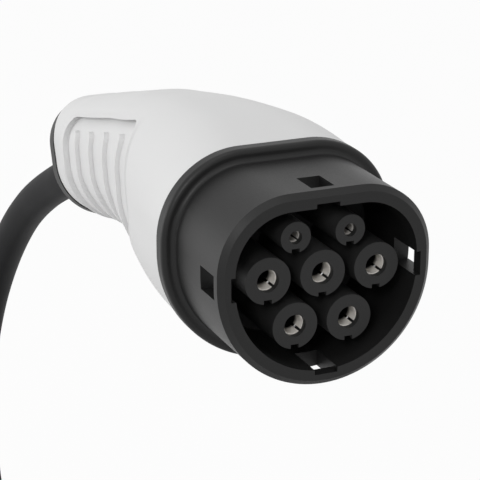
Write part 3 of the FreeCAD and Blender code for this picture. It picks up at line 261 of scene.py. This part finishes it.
def bundle_outline(place_angle):
    """Places round the turns that a tight strap touches, each with its outward direction."""
    touched = []
    for turn in range(TURNS):
        radius, drop = turn_place(turn + (place_angle + 90.0) / 360.0)
        middle = Vector((radius, coil_centre.z - drop))
        for step in range(ROUND_STEPS):
            angle = 2 * math.pi * step / ROUND_STEPS
            outwards = Vector((math.cos(angle), math.sin(angle)))
            touched.append((middle + outwards * (CABLE_WIDTH / 2 + STRAP_LIFT), outwards))
    round_turns = [touched[index] for index in convex_hull_2d([place for place, outwards in touched])]
    outline = []
    for (place, outwards), (after, outwards_after) in zip(round_turns, round_turns[1:] + round_turns[:1]):
        steps = max(1, round((after - place).length / STRAP_STEP))
        for step in range(steps):
            share = step / steps
            outline.append((place.lerp(after, share), outwards.lerp(outwards_after, share).normalized()))
    middle = sum(place.x for place, outwards in outline) / len(outline)
    top = [index for index, (place, outwards) in enumerate(outline) if outwards.y > LAP_FLAT]
    start = min(top, key=lambda index: abs(outline[index][0].x - middle))
    return outline[start:] + outline[:start]


webbing = Finish("strap_webbing")
thread_place = webbing.add("ShaderNodeUVMap", {"uv_map": "along"}, {})
warp = webbing.add("ShaderNodeTexWave", {"bands_direction": "X"}, {"Vector": thread_place, "Scale": 170.0})
weft = webbing.add("ShaderNodeTexWave", {"bands_direction": "Y"}, {"Vector": thread_place, "Scale": 260.0})
fluff = webbing.noise(900.0, 4.0)
weave = warp * weft
webbing.shade(
    Base_Color=webbing.colour((0.012, 0.012, 0.013), (0.050, 0.050, 0.052), 0.6 * weave + 0.4 * fluff),
    Roughness=0.78 + 0.14 * fluff,
    Normal=webbing.bump(weave + 0.5 * fluff, 0.0002),
)
for number, place_angle in enumerate(STRAP_PLACES):
    turn = Matrix.Rotation(math.radians(place_angle), 3, "Z")
    outline = bundle_outline(place_angle)
    laps = outline + outline
    gone = [0.0]
    for (place, outwards), (after, outwards_after) in zip(laps, laps[1:]):
        gone.append(gone[-1] + (after - place).length)
    once_round = gone[len(outline)]
    band = bmesh.new()
    along_map = band.loops.layers.uv.new("along")
    rings = []
    for (place, outwards), length in zip(laps, gone):
        if length > once_round + STRAP_OVERLAP:
            break
        past = min(1.0, max(0.0, (length - once_round + LAP_RISE) / LAP_RISE))
        lift = past * (STRAP_THICKNESS + STRAP_LIFT)
        ring = []
        for sideways, up in strap_sections:
            out = place + outwards * (lift + up)
            spot = turn @ Vector((out.x, sideways, 0.0))
            ring.append(band.verts.new((coil_centre.x + spot.x, coil_centre.y + spot.y, out.y)))
        rings.append(ring)
    for index, (before, after) in enumerate(zip(rings, rings[1:])):
        for corner in range(len(strap_sections)):
            beside = (corner + 1) % len(strap_sections)
            face = band.faces.new((before[corner], before[beside], after[beside], after[corner]))
            for loop in face.loops:
                ring, length = (after, gone[index + 1]) if loop.vert in after else (before, gone[index])
                loop[along_map].uv = (length, strap_sections[ring.index(loop.vert)][0])
    band.faces.new(rings[0])
    band.faces.new(list(reversed(rings[-1])))
    bmesh.ops.recalc_face_normals(band, faces=band.faces)
    strap_mesh = bpy.data.meshes.new(f"coil_strap_{number}")
    band.to_mesh(strap_mesh)
    band.free()
    for polygon in strap_mesh.polygons:
        polygon.use_smooth = False
    strap = bpy.data.objects.new(f"coil_strap_{number}", strap_mesh)
    bpy.context.scene.collection.objects.link(strap)
    dress(strap, webbing)
    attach(strap, "root")
    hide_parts("coil_ties")

# Handle. Two like mouldings in light grey white plastic, one at each end of the cable, with a
# sunken ribbed grip on each side. The mould leaves a very fine, even grain.
PANEL_CORNERS = [(-0.172, 0.0025), (-0.158, -0.050), (-0.086, -0.050), (-0.074, -0.004), (-0.092, 0.022)]
PANEL_LIP = 0.0045
PANEL_LIP_DEPTH = 0.0012
PANEL_LIP_CORNER = 0.012

for node, origin in (("handle_shell", (0.0, 0.0, 0.0)), ("plug_handle_shell", PLUG_PLACE)):
    white = Finish(f"white_moulding_{node}")
    clouding = white.noise(14.0, 3.0)
    spark = white.noise(1500.0, 3.0)
    place = white.add("ShaderNodeTexCoord", {}, {}, "Object")
    along = white.add("ShaderNodeSeparateXYZ", {}, {"Vector": place}, "X") - origin[0]
    up = white.add("ShaderNodeSeparateXYZ", {}, {"Vector": place}, "Z") - origin[2]
    outside = None
    for start, end in zip(PANEL_CORNERS, PANEL_CORNERS[1:] + PANEL_CORNERS[:1]):
        side = math.dist(start, end)
        across, rise = (end[0] - start[0]) / side, (end[1] - start[1]) / side
        beyond = (along - start[0]) * rise - (up - start[1]) * across
        if outside is not None:
            joined = {0: outside, 1: beyond, 2: PANEL_LIP_CORNER}
            beyond = white.add("ShaderNodeMath", {"operation": "SMOOTH_MAX"}, joined)
        outside = beyond
    reach = {"Value": outside, "From Min": 0.0, "From Max": PANEL_LIP}
    lip = white.add("ShaderNodeMapRange", {"interpolation_type": "SMOOTHSTEP"}, reach)
    white.shade(
        Base_Color=white.colour((0.645, 0.645, 0.645), (0.680, 0.680, 0.680), clouding),
        Roughness=0.42 + 0.10 * spark,
        Specular_IOR_Level=0.30,
        Normal=white.bump(lip + (0.00002 / PANEL_LIP_DEPTH) * spark, PANEL_LIP_DEPTH),
    )
    dress(nodes[node], white)

# Crown of the handles. The moulding's back is slightly fuller than the solid's, by up to CROWN,
# and meets nose and cap where the solid does. Places are from the middle of the connector's face.
CROWN = 0.0014
CROWN_SPAN = [
    (-0.187, 0.0), (-0.168, 1.0), (-0.125, 1.0), (-0.108, 0.70),
    (-0.085, 0.95), (-0.060, 0.70), (-0.034, 0.0),
]
CROWN_FOOT = [(-0.187, -0.017), (-0.135, -0.006), (-0.055, -0.002), (-0.034, 0.0)]
CROWN_RISE = 0.020


def between(stops, place):
    """Value at a place on the line through the stops, smoothed between them."""
    for (start, first), (end, second) in zip(stops, stops[1:]):
        if place <= end:
            share = min(1.0, max(0.0, (place - start) / (end - start)))
            return first + (second - first) * share * share * (3 - 2 * share)
    return stops[-1][1]


for node, origin in (("handle_shell", Vector((0, 0, 0))), ("plug_handle_shell", Vector(PLUG_PLACE))):
    piece = nodes[node]
    fullness = piece.vertex_groups.new(name="crown")
    for vertex in piece.data.vertices:
        place = piece.matrix_world @ vertex.co - origin
        above = (place.z - between(CROWN_FOOT, place.x)) / CROWN_RISE
        above = min(1.0, max(0.0, above))
        fullness.add([vertex.index], between(CROWN_SPAN, place.x) * above, "REPLACE")
    crown = piece.modifiers.new("crown", "DISPLACE")
    crown.vertex_group = "crown"
    crown.direction = "Z"
    crown.space = "GLOBAL"
    crown.mid_level = 0.0
    crown.strength = CROWN

# Rear edge of the handles. The moulding's sides and underside are drawn in slightly where they
# meet the cap, so that its black edge stands a little proud. Places are from the face's middle.
REAR_MIDDLE = Vector((-0.1815, 0.0, -0.0174))
REAR_NORMAL = Vector((-0.946, 0.0, -0.323)).normalized()
REAR_DRAW = 0.0011
REAR_FADE = 0.014
REAR_TOP = [(0.50, 1.0), (0.85, 0.0)]
REAR_SIDES = (("Y", 1), ("Y", -1), ("Z", -1))

for node, origin in (("handle_shell", Vector((0, 0, 0))), ("plug_handle_shell", Vector(PLUG_PLACE))):
    piece = nodes[node]
    groups = [piece.vertex_groups.new(name=f"rear_{axis}_{side}") for axis, side in REAR_SIDES]
    for vertex in piece.data.vertices:
        place = piece.matrix_world @ vertex.co - origin - REAR_MIDDLE
        ahead = -place.dot(REAR_NORMAL)
        if ahead < REAR_FADE:
            outwards = (place + REAR_NORMAL * ahead).normalized()
            share = between([(0.0, 1.0), (REAR_FADE, 0.0)], ahead) * between(REAR_TOP, outwards.z)
            for group, (axis, side) in zip(groups, REAR_SIDES):
                lean = side * (outwards.y if axis == "Y" else outwards.z)
                group.add([vertex.index], share * max(0.0, lean), "REPLACE")
    for group, (axis, side) in zip(groups, REAR_SIDES):
        drawn = piece.modifiers.new(group.name, "DISPLACE")
        drawn.vertex_group = group.name
        drawn.direction = axis
        drawn.space = "GLOBAL"
        drawn.mid_level = 0.0
        drawn.strength = -side * REAR_DRAW

# Noses, inserts and caps. Black glass-filled plastic, satin where it is handled and duller on
# the inserts, with the grain of a spark-worn mould.
black = Finish("black_moulding")
streaks = black.noise(25.0, 4.0)
grit = black.noise(2200.0, 3.0)
black.shade(
    Base_Color=black.colour((0.0085, 0.0085, 0.0085), (0.013, 0.013, 0.013), streaks),
    Roughness=0.36 + 0.14 * grit,
    Specular_IOR_Level=0.26,
    Normal=black.bump(grit, 0.00003),
)
for node in ("nose_shroud", "end_cap", "plug_nose_shroud", "plug_end_cap"):
    dress(nodes[node], black)

dull = Finish("insert_moulding")
grit = dull.noise(2200.0, 3.0)
dull.shade(
    Base_Color=dull.colour((0.014, 0.014, 0.014), (0.021, 0.021, 0.021), grit),
    Roughness=0.50 + 0.15 * grit,
    Specular_IOR_Level=0.26,
    Normal=dull.bump(grit, 0.00003),
)
for node in ("contact_carrier", "contact_towers", "contact_retainer", "clamp_saddle", "plug_pin_carrier",
             "plug_contact_retainer", "plug_clamp_saddle", "plug_pin_tips"):
    dress(nodes[node], dull)

# Seals. Soft black rubber rings between nose and handle, dusted so that they fit dry.
soft = Finish("seal_rubber")
dust = soft.noise(300.0, 4.0)
soft.shade(
    Base_Color=soft.colour((0.022, 0.022, 0.022), (0.050, 0.050, 0.050), dust),
    Roughness=0.62 + 0.20 * dust,
)
for node in ("nose_seal", "plug_nose_seal"):
    dress(nodes[node], soft)

# Contacts and pins. Turned copper alloy under a thin bright plating, with the fine rings that
# the lathe leaves round each one. Painted shade: the signal contacts get a darker copy of the
# plating, and each bore's colour turns near black deep inside.
# Painted shade in the bores: from the first depth along X to the second, the colour goes from near black
# to the plating's own, and deeper in it stays near black.
PAINTED_SHADE_SPAN = (-0.0050, -0.0034)
BORE_PAINTED_SHADE = (0.01, 0.01, 0.01)
PLATINGS = {
    "contact_plating": (("contact_pe", "contact_l1", "contact_n", "contact_l2", "contact_l3"), 0.20, 0.87),
    # The signal contacts' darker plating is painted shade for their small, deep bores.
    "shaded_signal_plating": (("contact_cp", "contact_pp"), 0.10, 0.42),
    "pin_plating": (("plug_power_pins", "plug_signal_pins"), 0.85, 0.80),
}

for name, (members, metal, brightness) in PLATINGS.items():
    plated = Finish(name)
    rings = plated.noise(900.0, 2.0, (6.0, 0.4, 0.4))
    tarnish = plated.noise(120.0, 4.0)
    place = plated.add("ShaderNodeTexCoord", {}, {}, "Object")
    along = plated.add("ShaderNodeSeparateXYZ", {}, {"Vector": place}, "X")
    # Share clear of the painted bore shade: 0 deep in a bore, 1 near its mouth.
    reach = {"Value": along, "From Min": PAINTED_SHADE_SPAN[0], "From Max": PAINTED_SHADE_SPAN[1]}
    clear_of_painted_shade = plated.add("ShaderNodeMapRange", {"clamp": True}, reach)
    tints = [[brightness * level * part for part in (1.0, 0.96, 0.90)] for level in (1.0, 1.14)]
    bright = plated.colour(*tints, tarnish)
    # Base colour: painted near-black shade deep in the bore, turning to the plating's own colour towards
    # the mouth.
    shares = {0: clear_of_painted_shade, 6: (*BORE_PAINTED_SHADE, 1.0), 7: bright}
    plated.shade(
        Base_Color=plated.add("ShaderNodeMix", {"data_type": "RGBA"}, shares, 2),
        Metallic=metal,
        Roughness=0.30 + 0.12 * rings,
        Normal=plated.bump(rings, 0.00001),
    )
    for member in members:
        dress(nodes[member], plated)

# Screws and springs. Plain zinc-plated steel, slightly dulled.
steel = Finish("zinc_steel")
cast = steel.noise(400.0, 3.0)
steel.shade(
    Base_Color=steel.colour((0.48, 0.48, 0.49), (0.62, 0.62, 0.62), cast),
    Metallic=1.0,
    Roughness=0.28 + 0.18 * cast,
)
for node in ("contact_springs", "retainer_screws", "clamp_screws", "plug_retainer_screws",
             "plug_clamp_screws"):
    dress(nodes[node], steel)

# Conductors and coding resistor. Each conductor has insulation in the colour of its line; the
# earth, green with yellow stripes, is drawn plain green. The resistor is lacquered.
LINE_COLOURS = {
    "wire_l1": (0.120, 0.050, 0.022),
    "wire_n": (0.030, 0.110, 0.400),
    "wire_l2": (0.015, 0.015, 0.016),
    "wire_l3": (0.260, 0.260, 0.265),
    "wire_cp": (0.550, 0.250, 0.040),
    "wire_pe": (0.090, 0.330, 0.050),
    "plug_conductors": (0.015, 0.015, 0.016),
    "coding_resistor": (0.120, 0.300, 0.420),
    "plug_coding_resistor": (0.120, 0.300, 0.420),
}
for node, colour in LINE_COLOURS.items():
    insulation = Finish(f"{node}_finish")
    haze = insulation.noise(250.0, 2.0)
    lighter = tuple(min(1.0, 1.25 * part + 0.01) for part in colour)
    insulation.shade(
        Base_Color=insulation.colour(colour, lighter, haze),
        Roughness=0.38 + 0.10 * haze,
    )
    dress(nodes[node], insulation)

# Surface and light. A pale floor under the coil, a broad lamp at the left, one above and a smaller
# one in front, so that shadows are soft and the black nose keeps its edges.
FLOOR_HEIGHT = -0.3227
FLOOR_SIDE = 12.0
FLOOR_WHITE = 0.95
FLOOR_TINT = (0.60, 0.60, 0.60, 1.0)
WHITE = (1.0, 1.0, 1.0, 1.0)
WORLD_LEVEL = 0.60
LAMPS = [
    ("key", (-0.9, -1.4, 0.1), 1.0, 9.5),
    ("top", (0.2, -0.1, 1.7), 1.0, 5.0),
    ("front", (1.1, -0.9, 0.8), 0.4, 8.0),
]

sheet = bmesh.new()
bmesh.ops.create_grid(sheet, x_segments=1, y_segments=1, size=FLOOR_SIDE / 2)
bmesh.ops.translate(sheet, verts=sheet.verts, vec=(0.0, 0.0, FLOOR_HEIGHT))
floor_mesh = bpy.data.meshes.new("floor")
sheet.to_mesh(floor_mesh)
sheet.free()
floor = bpy.data.objects.new("floor", floor_mesh)
bpy.context.scene.collection.objects.link(floor)


def show_white(stage, lit, white, share, end):
    """What the camera and reflections see is white by a share; the rest is the lit shader."""
    rays = ("Is Camera Ray", "Is Glossy Ray", "Is Transmission Ray")
    viewed, mirrored, passed = (stage.add("ShaderNodeLightPath", {}, {}, ray) for ray in rays)
    seen = (viewed + mirrored + passed) * share
    shown = stage.add("ShaderNodeMixShader", {}, {0: seen, 1: Value(stage, lit), 2: white})
    stage.feed(end, shown)


paper = Finish("floor_paper")
paper.shade(Base_Color=FLOOR_TINT, Roughness=0.9)
glow = paper.add("ShaderNodeEmission", {}, {"Color": WHITE})
paper_end = paper.tree.nodes["Material Output"].inputs["Surface"]
show_white(paper, paper.surface.outputs[0], glow, FLOOR_WHITE, paper_end)
dress(floor, paper)

world = bpy.data.worlds.new("studio")
world.use_nodes = True
bpy.context.scene.world = world
studio = Nodes(world.node_tree)
room = studio.tree.nodes["Background"]
studio.feed(room.inputs["Color"], WHITE)
studio.feed(room.inputs["Strength"], WORLD_LEVEL)
backdrop = studio.add("ShaderNodeBackground", {}, {"Color": WHITE})
world_end = studio.tree.nodes["World Output"].inputs["Surface"]
show_white(studio, room.outputs[0], backdrop, 1.0, world_end)

for name, place, width, power in LAMPS:
    lamp_data = bpy.data.lights.new(name, "AREA")
    lamp_data.shape = "SQUARE"
    lamp_data.size = width
    lamp_data.energy = power
    lamp = bpy.data.objects.new(name, lamp_data)
    lamp.location = place
    lamp.rotation_euler = Vector(place).to_track_quat("Z", "Y").to_euler()
    bpy.context.scene.collection.objects.link(lamp)
